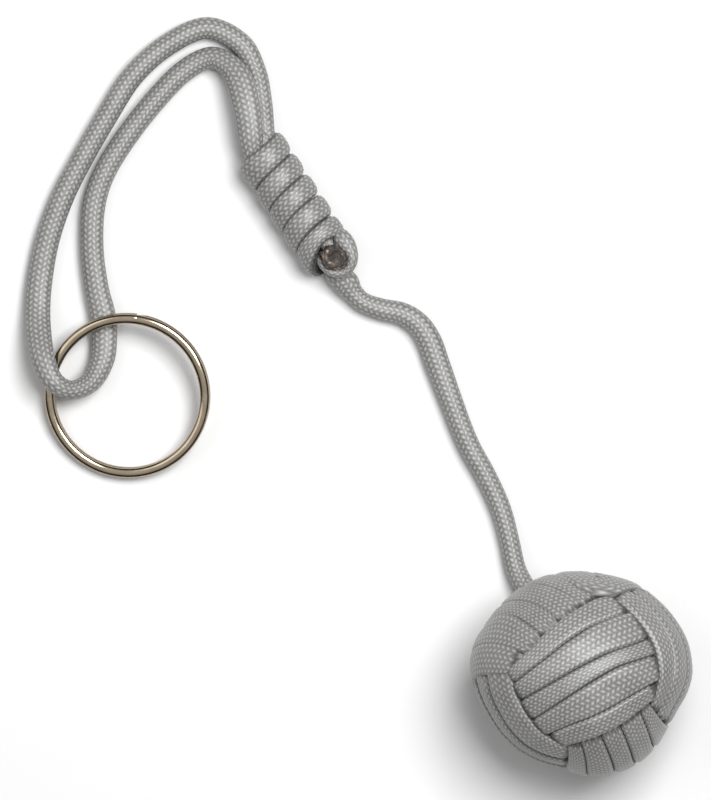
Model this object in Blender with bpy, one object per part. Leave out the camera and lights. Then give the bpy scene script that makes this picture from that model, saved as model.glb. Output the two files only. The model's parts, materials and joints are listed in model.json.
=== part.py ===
"""Monkey fist knot on a cord, with a coil knot, a loop and a split ring, lying on a table.

The frame is metres with +Z up, and the table is at z = 0. The origin is on the table, under the middle
of the rigid pieces: the fist, the coil knot and the split ring. The cord runs from the loop in the ring,
through the coil knot, to the fist, which is wound round a steel ball.
"""

from collections import namedtuple
from math import acos, asin, atan2, cos, degrees, pi, radians, sin

import bmesh
import bpy
from mathutils import Matrix, Vector

MM = 0.001

# The cord: a braided nylon cord, round where it lies free.
CORD_DIAMETER = 4.0 * MM
CORD_SIDE_STEPS = 2
CORD_POINT_SPACING = 5.9 * MM
CORD_BEND_WEIGHT = 8.0 * MM
END_DOME_DEGREES = (30, 55, 75)

# What is left between two pieces that touch, and between the object and the table.
CLEARANCE = 0.3 * MM
TABLE_CLEARANCE = 0.02 * MM

# The fist: three sets of turns round a ball, each over its neighbour on one side and under the other.
BALL_DIAMETER = 25.4 * MM
BALL_SEGMENTS = 24
BALL_RINGS = 12
FIST_CORD_THICKNESS = 3.05 * MM
FIST_CORD_CHAMFER = 0.8 * MM
FIST_TURN_DEGREES = 32.0
FIST_LEAN_DEGREES = 4.5
FIST_LEAN_TOWARDS_DEGREES = -50.0
FIST_HEADING_DEGREES = -58.0
FIST_CORD_TUCK = 1.7 * MM
DIVE_EASE_DEGREES = 3.0
DIVE_SQUEEZE = 0.38

# Each set: the axis that its outer faces look along, its number of turns, the angle between neighbouring
# turns, how much wider it spreads on its outer faces, and the angle on its way round at which it starts.
TurnSet = namedtuple("TurnSet", "name axis turns pitch_degrees spread start_degrees")
TURN_SETS = (
    TurnSet("first_turns", 2, 5.0, 11.0, 0.12, 90.0),
    TurnSet("second_turns", 0, 6.0, 11.0, 0.2, 90.0),
    TurnSet("third_turns", 1, 5.5, 10.7, 0.06, 270.0),
)

# The coil knot: wraps round two strands, which lie one over the other along its axis.
COIL_TOP = (-18.5 * MM, 56.4 * MM)
COIL_DIRECTION_DEGREES = -57.8
COIL_BORE_RADIUS = 2.15 * MM
WRAP_THICKNESS = 2.6 * MM
WRAP_PITCH = 4.5 * MM
WRAP_WIDTH = WRAP_PITCH - CLEARANCE
WRAP_CHAMFER = 0.8 * MM
WRAP_START_DEGREES = -90
WRAP_END_DEGREES = 1600
WRAP_STEP_DEGREES = 18
FIRST_WRAP_EDGE = -1.275 * MM
FIRST_WRAP = FIRST_WRAP_EDGE + WRAP_WIDTH / 2 - WRAP_PITCH * WRAP_START_DEGREES / 360
COIL_RADIUS = COIL_BORE_RADIUS + WRAP_THICKNESS

# Inside the wraps, two strands: one runs out to the fist, the other ends in the cut end.
STRAND_RADIUS = COIL_BORE_RADIUS - CLEARANCE
STRAND_START = -1.1 * MM
LOOP_PIVOT_ALONG = STRAND_START - CLEARANCE - CORD_DIAMETER / 2
LOOP_PIVOT_ACROSS = 0.7 * MM

# The cut end stands up out of the coil's lower end, inside a half turn of cord.
CUT_END_RADIUS = 1.6 * MM
CUT_END_BEAD = 1.08
CUT_END_HEIGHT = 1.5 * MM
CUT_END_ALONG = FIRST_WRAP + WRAP_PITCH * 4.25 + WRAP_WIDTH / 2 + CLEARANCE + CUT_END_RADIUS * CUT_END_BEAD
LINK_START_HEIGHT = 0.3 * MM
LINK_PIVOT_ALONG = CUT_END_ALONG + CORD_DIAMETER / 2 + 1.9 * MM
LINK_PIVOT_ACROSS = -0.7 * MM
EYE_THICKNESS = 1.7 * MM
EYE_WIDTH = 3.2 * MM
EYE_LOW = LINK_START_HEIGHT + CORD_DIAMETER + 2 * CLEARANCE
EYE_FROM_DEGREES = -106
EYE_TO_DEGREES = 120
CUT_END_TOP = EYE_LOW + EYE_WIDTH + 0.8 * MM

# The split ring: one wire wound twice round, each turn flat on the other.
RING_OUTER_DIAMETER = 30.0 * MM
RING_WIRE_WIDTH = 1.95 * MM
RING_WIRE_HEIGHT = 1.3 * MM
RING_WIRE_CHAMFER = 0.32 * MM
RING_TURN_GAP = 0.06 * MM
RING_HELD_PLACE = (-53.4 * MM, 19.9 * MM)
RING_HELD_DEGREES = 138.0
RING_HIGH_SIDE_DEGREES = 60.0
RING_OVER_CORD_DEGREES = 108.5
RING_UNDER_CORD_DEGREES = 168.0
RING_END_DEGREES = 83.0
RING_JOG_DEGREES = 14.0
RING_STEP_DEGREES = 9.0

# The loop of cord, from the coil's top, round through the ring and back: the place in millimetres, and
# how far the cord is up towards its height over its own other leg, or towards its height over the ring.
LOOP_FROM_COIL = (
    (-18.7, 61.9, 0.90),
    (-18.5, 64.7, 0.65),
    (-19.7, 69.5, 0.29),
    (-22.6, 74.1, 0.04),
)
LOOP_ROUND_RING = (
    (-28.7, 76.9, 0.00),
    (-35.7, 73.9, 0.00),
    (-42.0, 68.3, 0.00),
    (-46.9, 60.7, 0.00),
    (-51.1, 53.4, 0.00),
    (-54.7, 46.4, 0.00),
    (-57.4, 38.8, 0.00),
    (-58.8, 31.6, 0.02),
    (-59.2, 26.0, 0.17),
    (-58.9, 21.1, 0.53),
    (-58.0, 16.6, 0.92),
    (-56.2, 13.0, 1.00),
    (-53.1, 11.5, 0.74),
    (-49.6, 13.0, 0.36),
    (-47.6, 16.8, 0.09),
    (-47.2, 20.9, 0.00),
    (-47.5, 25.1, 0.00),
    (-48.6, 30.1, 0.00),
    (-49.4, 37.1, 0.00),
    (-49.1, 44.6, 0.00),
    (-47.2, 50.6, 0.00),
    (-43.4, 56.9, 0.00),
    (-38.3, 63.5, 0.00),
    (-33.1, 68.9, 0.00),
    (-27.9, 71.3, 0.00),
    (-24.1, 69.4, 0.02),
    (-21.8, 65.3, 0.06),
    (-20.7, 62.1, 0.09),
)

# The cord from the coil's lower end to the fist, as distances in millimetres from where it starts, and
# the height of its underside.
LINK_ROUTE = (
    (1.1, -2.2, 0.1),
    (3.2, -4.1, 0.0),
    (6.6, -5.3, 0.0),
    (10.1, -6.3, 0.0),
    (13.0, -8.2, 0.0),
    (15.1, -11.0, 0.0),
    (16.7, -15.1, 0.0),
    (18.7, -20.8, 0.0),
    (21.5, -26.9, 0.0),
    (24.0, -30.9, 0.0),
    (26.4, -35.3, 0.0),
    (28.8, -41.2, 0.0),
    (30.2, -47.0, 0.0),
    (31.2, -52.0, 0.2),
    (32.7, -55.7, 1.4),
    (34.9, -59.3, 3.3),
)

UP = Vector((0, 0, 1))


def clear_scene():
    for obj in list(bpy.data.objects):
        bpy.data.objects.remove(obj, do_unlink=True)


def make_material(name, colour, roughness, metallic=0.0):
    material = bpy.data.materials.new(name)
    material.use_nodes = True
    shader = material.node_tree.nodes["Principled BSDF"]
    shader.inputs["Base Color"].default_value = (*colour, 1.0)
    shader.inputs["Roughness"].default_value = roughness
    shader.inputs["Metallic"].default_value = metallic
    return material


def make_pivot(name, place, parent=None):
    """An empty on a joint's axis, which carries the pieces that turn about it."""
    pivot = bpy.data.objects.new(name, None)
    pivot.empty_display_size = 5 * MM
    pivot.location = place
    bpy.context.collection.objects.link(pivot)
    if parent:
        hang_on(pivot, parent)
    return pivot


def hang_on(obj, parent):
    """Makes obj a child of parent and leaves it where it is."""
    bpy.context.view_layer.update()
    obj.parent = parent
    obj.matrix_parent_inverse = parent.matrix_world.inverted()


def add_mesh_object(name, bm, material, parent=None, matrix=Matrix.Identity(4)):
    bmesh.ops.recalc_face_normals(bm, faces=bm.faces)
    mesh = bpy.data.meshes.new(name)
    bm.to_mesh(mesh)
    bm.free()
    mesh.shade_smooth()
    mesh.set_sharp_from_angle(angle=radians(40))
    mesh.materials.append(material)
    obj = bpy.data.objects.new(name, mesh)
    bpy.context.collection.objects.link(obj)
    obj.matrix_world = matrix
    if parent:
        hang_on(obj, parent)
    return obj


def chamfered_section(width, thickness, chamfer):
    """The eight corners of a flattened strand, as (across, up) distances from its middle."""
    a, b = width / 2, thickness / 2
    return [
        (a, -b + chamfer),
        (a, b - chamfer),
        (a - chamfer, b),
        (-a + chamfer, b),
        (-a, b - chamfer),
        (-a, -b + chamfer),
        (-a + chamfer, -b),
        (a - chamfer, -b),
    ]


def round_section(half_width, half_height, sides=10):
    turns = (2 * pi * i / sides for i in range(sides))
    return [(half_width * cos(turn), half_height * sin(turn)) for turn in turns]


def extrude_along(places, ups, sections):
    """A closed bar: a section's face, extruded from place to place with its up side kept outwards."""
    bm = bmesh.new()
    cap = None
    last = len(places) - 1
    for i, (place, outward, section) in enumerate(zip(places, ups, sections)):
        along = (places[min(i + 1, last)] - places[max(i - 1, 0)]).normalized()
        up = (outward - along * outward.dot(along)).normalized()
        across = along.cross(up)
        corners = [place + across * x + up * y for x, y in section]
        if cap is None:
            cap = bm.faces.new([bm.verts.new(corner) for corner in corners])
            continue
        grown = bmesh.ops.extrude_face_region(bm, geom=[cap, *cap.edges])
        cap = next(item for item in grown["geom"] if isinstance(item, bmesh.types.BMFace))
        for loop, corner in zip(cap.loops, corners):
            loop.vert.co = corner
    return bm


def smooth_route(route, spacing):
    """Points on the smooth curve that passes through the route's points, closer together where it bends."""
    points = [2 * route[0] - route[1], *route, 2 * route[-1] - route[-2]]
    fine = []
    for before, start, end, after in zip(points, points[1:], points[2:], points[3:]):
        for step in range(12):
            t = step / 12
            fine.append(
                0.5
                * (
                    2 * start
                    + (end - before) * t
                    + (2 * before - 5 * start + 4 * end - after) * t * t
                    + (3 * start - before - 3 * end + after) * t**3
                )
            )
    fine.append(points[-2])
    ways = [end - start for start, end in zip(fine, fine[1:])]
    travelled = [0.0]
    for i, way in enumerate(ways):
        bend = way.angle(ways[max(i - 1, 0)])
        travelled.append(travelled[-1] + way.length + CORD_BEND_WEIGHT * bend)
    count = round(travelled[-1] / spacing)
    chosen = []
    index = 0
    for step in range(count + 1):
        wanted = travelled[-1] * step / count
        while index < len(fine) - 2 and travelled[index + 1] < wanted:
            index += 1
        share = (wanted - travelled[index]) / (travelled[index + 1] - travelled[index])
        chosen.append(fine[index].lerp(fine[index + 1], share))
    return chosen


def add_cord(name, route, material, parent):
    """A round cord along a route, whose ends are domes centred on the route's ends."""
    radius = CORD_DIAMETER / 2
    middle = smooth_route(route, CORD_POINT_SPACING)
    points = [(place, 1.0) for place in middle]
    first_way = (middle[0] - middle[1]).normalized()
    last_way = (middle[-1] - middle[-2]).normalized()
    for angle in END_DOME_DEGREES:
        out, share = radius * sin(radians(angle)), cos(radians(angle))
        points.insert(0, (middle[0] + first_way * out, share))
        points.append((middle[-1] + last_way * out, share))
    curve = bpy.data.curves.new(name, "CURVE")
    curve.dimensions = "3D"
    curve.bevel_depth = radius
    curve.bevel_resolution = CORD_SIDE_STEPS
    curve.use_fill_caps = True
    spline = curve.splines.new("POLY")
    spline.points.add(len(points) - 1)
    for point, (place, share) in zip(spline.points, points):
        point.co = (*place, 1.0)
        point.radius = share
    spline.use_smooth = True
    curve.materials.append(material)
    cord = bpy.data.objects.new(name, curve)
    bpy.context.collection.objects.link(cord)
    hang_on(cord, parent)
    return cord


def spread_at(turn_set, from_face):
    """How much wider than at its corners a set is, at this angle from the middle of its outer face."""
    if from_face > 45:
        return 1.0
    return 1.0 + turn_set.spread * cos(radians(2 * from_face)) ** 2


def edge_angle(turn_set, from_face):
    """The angle from a set's middle plane to the outer edge of its last turn."""
    return radians(turn_set.pitch_degrees * (turn_set.turns + 0.5) / 2 * spread_at(turn_set, from_face))


def tilt_at(turn_set, angle):
    """The angle from a set's middle plane to the middle of the strand, at this angle on its way round."""
    turns = (angle - turn_set.start_degrees) / 360 - turn_set.turns / 2
    from_face = abs((angle + 90) % 180 - 90)
    return radians(turn_set.pitch_degrees * turns * spread_at(turn_set, from_face))


def dive_window(turn_set, under, over, angle):
    """Where a turn leaves its neighbour's edge and goes under the next one's, in degrees from its face."""
    edge = abs(tilt_at(turn_set, angle)) + radians(turn_set.pitch_degrees) / 2
    leaves = asin(min(sin(edge_angle(under, 90)) / cos(edge), 1.0))
    enters = radians(50)
    for _ in range(2):
        from_face = degrees(atan2(sin(edge), cos(edge) * sin(enters)))
        enters = acos(min(sin(edge_angle(over, from_face)) / cos(edge), 1.0))
    return degrees(leaves) - DIVE_EASE_DEGREES, degrees(enters) + DIVE_EASE_DEGREES


def stations_round(turn_set, under, over):
    """Places along a set's way round, as (angle, share): 1 where it lies on its neighbour, 0 where under."""
    start = turn_set.start_degrees
    end = start + 360 * turn_set.turns
    found = {}
    for face in range(0, int(end) + 91, 180):
        for side in (-1, 1):
            low, high = dive_window(turn_set, under, over, face + side * 45)
            quarter = [(low * step / 3, 1.0) for step in range(4)]
            quarter += [
                (low + (high - low) * step / 3, 0.5 + 0.5 * cos(pi * step / 3)) for step in (1, 2)
            ]
            quarter += [(high + (90 - high) * step / 3, 0.0) for step in range(4)]
            for from_face, share in quarter:
                angle = round(face + side * from_face, 3)
                if start <= angle <= end:
                    found[angle] = share
    return sorted(found.items())


def add_turn_set(turn_set, under, over, material, parent, matrix):
    """One set of turns of the fist: a strand wound round the ball as a flat coil.

    Where its face looks outwards it lies on the set named under. A quarter turn on, it dives below the
    set named over, squeezed thinner on the way, and its turns crowd together there.
    """
    low_radius = BALL_DIAMETER / 2 + CLEARANCE + FIST_CORD_THICKNESS / 2
    rise = FIST_CORD_THICKNESS + CLEARANCE
    face = Vector.Fill(3, 0)
    face[turn_set.axis] = 1
    travel = Vector((face.z, face.x, face.y))
    side = Vector((travel.z, travel.x, travel.y))
    places, ups, sections = [], [], []
    for angle, share in stations_round(turn_set, under, over):
        tilt = tilt_at(turn_set, angle)
        radius = low_radius + rise * share
        round_way = face * cos(radians(angle)) + travel * sin(radians(angle))
        outward = round_way * cos(tilt) + side * sin(tilt)
        from_face = abs((angle + 90) % 180 - 90)
        pitch = radians(turn_set.pitch_degrees * spread_at(turn_set, from_face))
        thickness = FIST_CORD_THICKNESS * (1 - DIVE_SQUEEZE * 4 * share * (1 - share))
        places.append(outward * radius)
        ups.append(outward)
        sections.append(
            chamfered_section(radius * pitch - CLEARANCE, thickness, FIST_CORD_CHAMFER)
        )
    bm = extrude_along(places, ups, sections)
    return add_mesh_object(turn_set.name, bm, material, parent, matrix)


def fist_matrix():
    """Places the fist on the table, turned and leaning as it lies, against the end of the cord to it."""
    outer_radius = BALL_DIAMETER / 2 + 2 * (CLEARANCE + FIST_CORD_THICKNESS)
    height = outer_radius + TABLE_CLEARANCE
    pivot = link_places()[-1]
    reach = outer_radius + CORD_DIAMETER / 2 - FIST_CORD_TUCK
    away = (reach**2 - (height - pivot.z) ** 2) ** 0.5
    heading = Matrix.Rotation(radians(FIST_HEADING_DEGREES), 3, "Z") @ Vector((away, 0, 0))
    lean_axis = Matrix.Rotation(radians(FIST_LEAN_TOWARDS_DEGREES + 90), 3, "Z") @ Vector((1, 0, 0))
    lean = Matrix.Rotation(radians(FIST_LEAN_DEGREES), 4, lean_axis)
    turn = Matrix.Rotation(radians(FIST_TURN_DEGREES), 4, "Z")
    place = Vector((pivot.x + heading.x, pivot.y + heading.y, height))
    return Matrix.Translation(place) @ lean @ turn


def add_fist(cord, steel, pivot):
    matrix = fist_matrix()
    bm = bmesh.new()
    bmesh.ops.create_uvsphere(
        bm, u_segments=BALL_SEGMENTS, v_segments=BALL_RINGS, radius=BALL_DIAMETER / 2
    )
    add_mesh_object("core_ball", bm, steel, pivot, matrix)
    first, second, third = TURN_SETS
    add_turn_set(first, third, second, cord, pivot, matrix)
    add_turn_set(second, first, third, cord, pivot, matrix)
    add_turn_set(third, second, first, cord, pivot, matrix)


def coil_frame():
    """The coil's own axes: along it, across it, and the middle of its top end."""
    along = Vector((cos(radians(COIL_DIRECTION_DEGREES)), sin(radians(COIL_DIRECTION_DEGREES)), 0))
    return along, UP.cross(along), Vector((*COIL_TOP, COIL_RADIUS + TABLE_CLEARANCE))


def beside_coil(along_coil, across_coil, height):
    along, across, top = coil_frame()
    place = top + along * along_coil + across * across_coil
    return Vector((place.x, place.y, height))


def ring_lean():
    """The angle at which the ring clears the leg of the loop that it lies on, with its low side on the table."""
    outer_radius = RING_OUTER_DIAMETER / 2
    inner_radius = outer_radius - RING_WIRE_WIDTH
    from_high_side = radians(RING_OVER_CORD_DEGREES - RING_HIGH_SIDE_DEGREES)
    return asin((CORD_DIAMETER + 1.3 * CLEARANCE) / (outer_radius + inner_radius * cos(from_high_side)))


def loop_places():
    """The loop's route: its two ends lie one over the other at the coil, and it passes over the ring once."""
    lying = CORD_DIAMETER / 2 + TABLE_CLEARANCE
    low = 0.6 * MM
    over_leg = low + CORD_DIAMETER + CLEARANCE
    from_high_side = radians(RING_UNDER_CORD_DEGREES - RING_HIGH_SIDE_DEGREES)
    rim = RING_OUTER_DIAMETER / 2
    over_ring = sin(ring_lean()) * rim * (1 + cos(from_high_side))
    over_ring += 2 * RING_WIRE_HEIGHT + RING_TURN_GAP + 2.3 * CLEARANCE
    places = [beside_coil(LOOP_PIVOT_ALONG, LOOP_PIVOT_ACROSS, lying + over_leg)]
    places += [Vector((x * MM, y * MM, lying + over_leg * share)) for x, y, share in LOOP_FROM_COIL]
    places += [Vector((x * MM, y * MM, lying + over_ring * share)) for x, y, share in LOOP_ROUND_RING]
    places.append(beside_coil(LOOP_PIVOT_ALONG, LOOP_PIVOT_ACROSS, lying + low))
    return places


def link_places():
    """The route of the cord between the coil and the fist."""
    lying = CORD_DIAMETER / 2 + TABLE_CLEARANCE
    start = beside_coil(LINK_PIVOT_ALONG, LINK_PIVOT_ACROSS, 0)
    places = [Vector((start.x, start.y, lying + LINK_START_HEIGHT))]
    for x, y, height in LINK_ROUTE:
        places.append(Vector((start.x + x * MM, start.y + y * MM, lying + height * MM)))
    return places


def add_coil_wraps(cord):
    along, across, top = coil_frame()
    middle_radius = COIL_BORE_RADIUS + WRAP_THICKNESS / 2
    section = chamfered_section(WRAP_WIDTH, WRAP_THICKNESS, WRAP_CHAMFER)
    places, ups = [], []
    steps = round((WRAP_END_DEGREES - WRAP_START_DEGREES) / WRAP_STEP_DEGREES)
    for step in range(steps + 1):
        angle = WRAP_START_DEGREES + (WRAP_END_DEGREES - WRAP_START_DEGREES) * step / steps
        outward = across * cos(radians(angle)) + UP * sin(radians(angle))
        travelled = FIRST_WRAP + WRAP_PITCH * angle / 360
        places.append(top + along * travelled + outward * middle_radius)
        ups.append(outward)
    bm = extrude_along(places, ups, [section] * len(places))
    return add_mesh_object("coil_wraps", bm, cord)


def add_inner_strands(cord):
    """The two strands inside the wraps: the upper one ends in the cut end, the lower one runs on out."""
    along, _, top = coil_frame()
    apart = (STRAND_RADIUS + CLEARANCE / 2) / 2
    thin = apart - CLEARANCE / 2
    flat = round_section(STRAND_RADIUS * 0.76, thin)
    under_end = CUT_END_TOP - CUT_END_HEIGHT - CLEARANCE - thin - top.z
    bend = CUT_END_ALONG - 1.2 * MM
    upper = [
        top + along * STRAND_START + UP * apart,
        top + along * (bend - 4.5 * MM) + UP * apart,
        top + along * (bend - 1.5 * MM) + UP * apart,
        top + along * (bend + 0.3 * MM) + UP * (apart + under_end) / 2,
        top + along * (bend + 1.9 * MM) + UP * under_end,
    ]
    bm = extrude_along(upper, [UP] * len(upper), [flat] * len(upper))
    add_mesh_object("tail_strand", bm, cord)
    exit_height = link_places()[0].z
    run_out = LINK_PIVOT_ALONG - CORD_DIAMETER / 2 - CLEARANCE
    lower = [
        top + along * STRAND_START - UP * apart,
        top + along * (bend - 3.5 * MM) - UP * apart,
        top + along * (bend - 0.5 * MM) - UP * (apart + 0.5 * MM),
        Vector((*(top + along * (run_out - 0.8 * MM)).xy, exit_height)),
        Vector((*(top + along * run_out).xy, exit_height)),
    ]
    bm = extrude_along(lower, [UP] * len(lower), [flat] * len(lower))
    add_mesh_object("standing_strand", bm, cord)


def add_cut_end(melted):
    """The end of the cord where it was cut and melted: a short stub with a crowned, beaded top."""
    along, _, top = coil_frame()
    place = Vector((*(top + along * CUT_END_ALONG).xy, CUT_END_TOP - CUT_END_HEIGHT))
    bm = bmesh.new()
    bmesh.ops.create_circle(bm, cap_ends=True, segments=16, radius=CUT_END_RADIUS)
    cap = bm.faces[:][0]
    profile = ((0.45, CUT_END_BEAD), (0.8, 1.0), (1.0, 0.7))
    for height, spread in profile:
        grown = bmesh.ops.extrude_face_region(bm, geom=[cap, *cap.edges])
        cap = next(item for item in grown["geom"] if isinstance(item, bmesh.types.BMFace))
        for i, loop in enumerate(cap.loops):
            turn = 2 * pi * i / len(cap.loops)
            reach = CUT_END_RADIUS * spread
            loop.vert.co = (reach * cos(turn), reach * sin(turn), CUT_END_HEIGHT * height)
    return add_mesh_object("cut_end", bm, melted, None, Matrix.Translation(place))


def add_eye_turn(cord):
    """The last half turn of the coil, which bends round the cut end."""
    along, across, top = coil_frame()
    centre = Vector((*(top + along * CUT_END_ALONG).xy, EYE_LOW + EYE_WIDTH / 2))
    reach = CUT_END_RADIUS * CUT_END_BEAD + CLEARANCE + EYE_THICKNESS / 2
    section = chamfered_section(EYE_WIDTH, EYE_THICKNESS, EYE_THICKNESS * 0.3)
    places, ups = [], []
    for step in range(13):
        turn = radians(EYE_FROM_DEGREES + (EYE_TO_DEGREES - EYE_FROM_DEGREES) * step / 12)
        outward = along * cos(turn) + across * sin(turn)
        places.append(centre + outward * reach)
        ups.append(outward)
    bm = extrude_along(places, ups, [section] * len(places))
    return add_mesh_object("eye_turn", bm, cord)


def ring_matrix():
    """Places the ring round the loop's far end, leaning, with its lowest edge on the table."""
    lean_axis = Matrix.Rotation(radians(RING_HIGH_SIDE_DEGREES - 90), 3, "Z") @ Vector((1, 0, 0))
    lean = Matrix.Rotation(ring_lean(), 4, lean_axis)
    height = RING_OUTER_DIAMETER / 2 * sin(ring_lean()) + TABLE_CLEARANCE
    height += (RING_WIRE_HEIGHT + RING_TURN_GAP / 2) * cos(ring_lean())
    turn = Matrix.Rotation(radians(RING_END_DEGREES), 4, "Z")
    held = radians(RING_HELD_DEGREES)
    middle_radius = (RING_OUTER_DIAMETER - RING_WIRE_WIDTH) / 2
    x = RING_HELD_PLACE[0] - middle_radius * cos(held)
    y = RING_HELD_PLACE[1] - middle_radius * sin(held)
    return Matrix.Translation((x, y, height)) @ lean @ turn


def add_split_ring(nickel, pivot):
    """One wire wound twice: it steps up from the lower turn to the upper one beside its own two ends."""
    middle_radius = (RING_OUTER_DIAMETER - RING_WIRE_WIDTH) / 2
    climb = RING_WIRE_HEIGHT + RING_TURN_GAP
    section = chamfered_section(RING_WIRE_HEIGHT, RING_WIRE_WIDTH, RING_WIRE_CHAMFER)
    jog = RING_JOG_DEGREES
    even = round((360 - jog) / RING_STEP_DEGREES)
    lower = [(360 - jog) * step / even for step in range(even + 1)]
    steps = [360 - jog + jog * step / 4 for step in (1, 2, 3)]
    upper = [360 + angle for angle in lower]
    places, ups = [], []
    for angle in lower + steps + upper:
        t = min(max((angle - 360 + jog) / jog, 0.0), 1.0)
        height = climb * (0.5 - 0.5 * cos(pi * t) - 0.5)
        outward = Vector((cos(radians(angle)), sin(radians(angle)), 0))
        places.append(outward * middle_radius + UP * height)
        ups.append(outward)
    bm = extrude_along(places, ups, [section] * len(places))
    return add_mesh_object("split_ring", bm, nickel, pivot, ring_matrix())


def main():
    clear_scene()
    cord = make_material("grey_nylon_cord", (0.36, 0.36, 0.35), 0.75)
    steel = make_material("steel_core", (0.55, 0.55, 0.56), 0.3, 1.0)
    nickel = make_material("nickel_ring", (0.66, 0.62, 0.56), 0.18, 1.0)
    melted = make_material("melted_end", (0.05, 0.04, 0.035), 0.5)

    loop_route = loop_places()
    link_route = link_places()
    loop_pivot = make_pivot("loop_pivot", (loop_route[0].x, loop_route[0].y, COIL_RADIUS))
    link_pivot = make_pivot("link_pivot", link_route[0])
    fist_pivot = make_pivot("fist_pivot", link_route[-1], link_pivot)
    ring_pivot = make_pivot("ring_pivot", ring_matrix().translation, loop_pivot)

    add_coil_wraps(cord)
    add_inner_strands(cord)
    add_cut_end(melted)
    add_eye_turn(cord)
    add_cord("loop_cord", loop_route, cord, loop_pivot)
    add_split_ring(nickel, ring_pivot)
    add_cord("link_cord", link_route, cord, link_pivot)
    add_fist(cord, steel, fist_pivot)


main()
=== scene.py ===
"""Looks of the monkey fist keychain: braided nylon cord, coil knot, fist and split ring.

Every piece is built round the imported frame, in metres, with the table at z = 0 and +Z up.
"""

import json
from math import cos, pi, radians, sin

import bmesh
import bpy
import numpy as np
from bpy.props import FloatProperty, FloatVectorProperty, IntProperty, PointerProperty
from mathutils import Matrix, Vector


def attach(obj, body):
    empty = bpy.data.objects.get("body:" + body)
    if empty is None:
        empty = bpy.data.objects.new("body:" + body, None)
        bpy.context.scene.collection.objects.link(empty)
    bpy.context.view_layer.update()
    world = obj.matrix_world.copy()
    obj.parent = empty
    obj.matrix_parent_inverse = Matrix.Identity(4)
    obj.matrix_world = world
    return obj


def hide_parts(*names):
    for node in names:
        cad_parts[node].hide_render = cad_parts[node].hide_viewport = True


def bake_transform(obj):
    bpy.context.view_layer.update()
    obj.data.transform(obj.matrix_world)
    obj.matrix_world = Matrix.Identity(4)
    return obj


bl_info = {
    "name": "Monkey Fist Keychain",
    "version": (1, 0, 0),
    "blender": (4, 5, 0),
    "location": "View3D > Sidebar > Keychain",
    "description": "Builds the braided cord, coil knot, fist and split ring of a keychain",
    "category": "Add Mesh",
}

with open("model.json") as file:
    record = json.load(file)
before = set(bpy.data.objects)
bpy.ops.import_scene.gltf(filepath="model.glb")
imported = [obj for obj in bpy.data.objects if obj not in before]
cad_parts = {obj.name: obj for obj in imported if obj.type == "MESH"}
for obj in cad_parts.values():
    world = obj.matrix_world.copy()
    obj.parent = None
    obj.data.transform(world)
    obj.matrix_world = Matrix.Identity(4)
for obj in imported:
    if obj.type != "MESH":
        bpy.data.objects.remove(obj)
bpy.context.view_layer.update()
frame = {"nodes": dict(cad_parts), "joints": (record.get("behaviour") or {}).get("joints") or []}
JOINTS = {joint["name"]: joint for joint in frame["joints"]}

MM = 0.001
UP = Vector((0, 0, 1))
# The braid's own map: the column and the stitch at each place.
BRAID_MAP = "braid"
# The painted shade where strands press together: how deep a place lies in it, and how much colour it
# takes.
PAINTED_SHADE = "painted_shade"
PAINTED_SHADE_STRENGTH = 0.8
ROWS_PER_STITCH = 4
# How much of a stitch length a stitch climbs from one side of its column to the other.
STITCH_LEAN = 0.45
# How high a stitch stands at its column's edges, and the height on it that is the strand's own size,
# both as shares of the relief.
EDGE_HEIGHT = 0.15
EVEN_HEIGHT = 0.6


def linear(code):
    """The linear colour of an sRGB hex value."""
    shares = [int(code[i : i + 2], 16) / 255 for i in (1, 3, 5)]
    return tuple(c / 12.92 if c <= 0.04045 else ((c + 0.055) / 1.055) ** 2.4 for c in shares)


# Sizes and colours that a user would change.


class CordSizes(bpy.types.PropertyGroup):
    diameter: FloatProperty(
        name="Diameter", description="Cord across where it lies free", default=4.0 * MM, unit="LENGTH"
    )
    columns: IntProperty(
        name="Stitch columns", description="Stitches round the cord, an even number", default=16
    )
    stitch: FloatProperty(
        name="Stitch length", description="One stitch along the cord", default=1.05 * MM, unit="LENGTH"
    )
    relief: FloatProperty(
        name="Relief", description="How far a stitch stands up", default=0.1 * MM, unit="LENGTH"
    )
    # Painted highlight: the colour of a stitch's crest, which also sets the yarn's own grey between it
    # and the shade.
    yarn: FloatVectorProperty(
        name="Yarn and highlight", description="Crest of a stitch", subtype="COLOR", default=linear("#a3a3a1")
    )
    # Painted shade: the colour between stitches, where their shade falls, which also sets the yarn's
    # own grey.
    shade: FloatVectorProperty(
        name="Shade", description="Between stitches", subtype="COLOR", default=linear("#61605e")
    )


class CoilSizes(bpy.types.PropertyGroup):
    pitch: FloatProperty(
        name="Pitch", description="One wrap to the next", default=4.5 * MM, unit="LENGTH"
    )
    bore: FloatProperty(
        name="Bore radius", description="Inside the wraps", default=2.15 * MM, unit="LENGTH"
    )
    thickness: FloatProperty(
        name="Wrap thickness", description="A wrap through its side", default=2.6 * MM, unit="LENGTH"
    )
    slant: FloatProperty(
        name="Slant", description="How far a wrap leans along the coil", default=0.2 * MM, unit="LENGTH"
    )


class FistSizes(bpy.types.PropertyGroup):
    columns: IntProperty(
        name="Stitch columns", description="Stitches round a strand, a multiple of four", default=20
    )
    low_radius: FloatProperty(
        name="Inner radius", description="Middle of a strand below", default=14.5 * MM, unit="LENGTH"
    )
    rise: FloatProperty(
        name="Rise", description="From there to a strand on top", default=3.3 * MM, unit="LENGTH"
    )
    thickness: FloatProperty(
        name="Strand thickness", description="Through its flat side", default=3.0 * MM, unit="LENGTH"
    )


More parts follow.
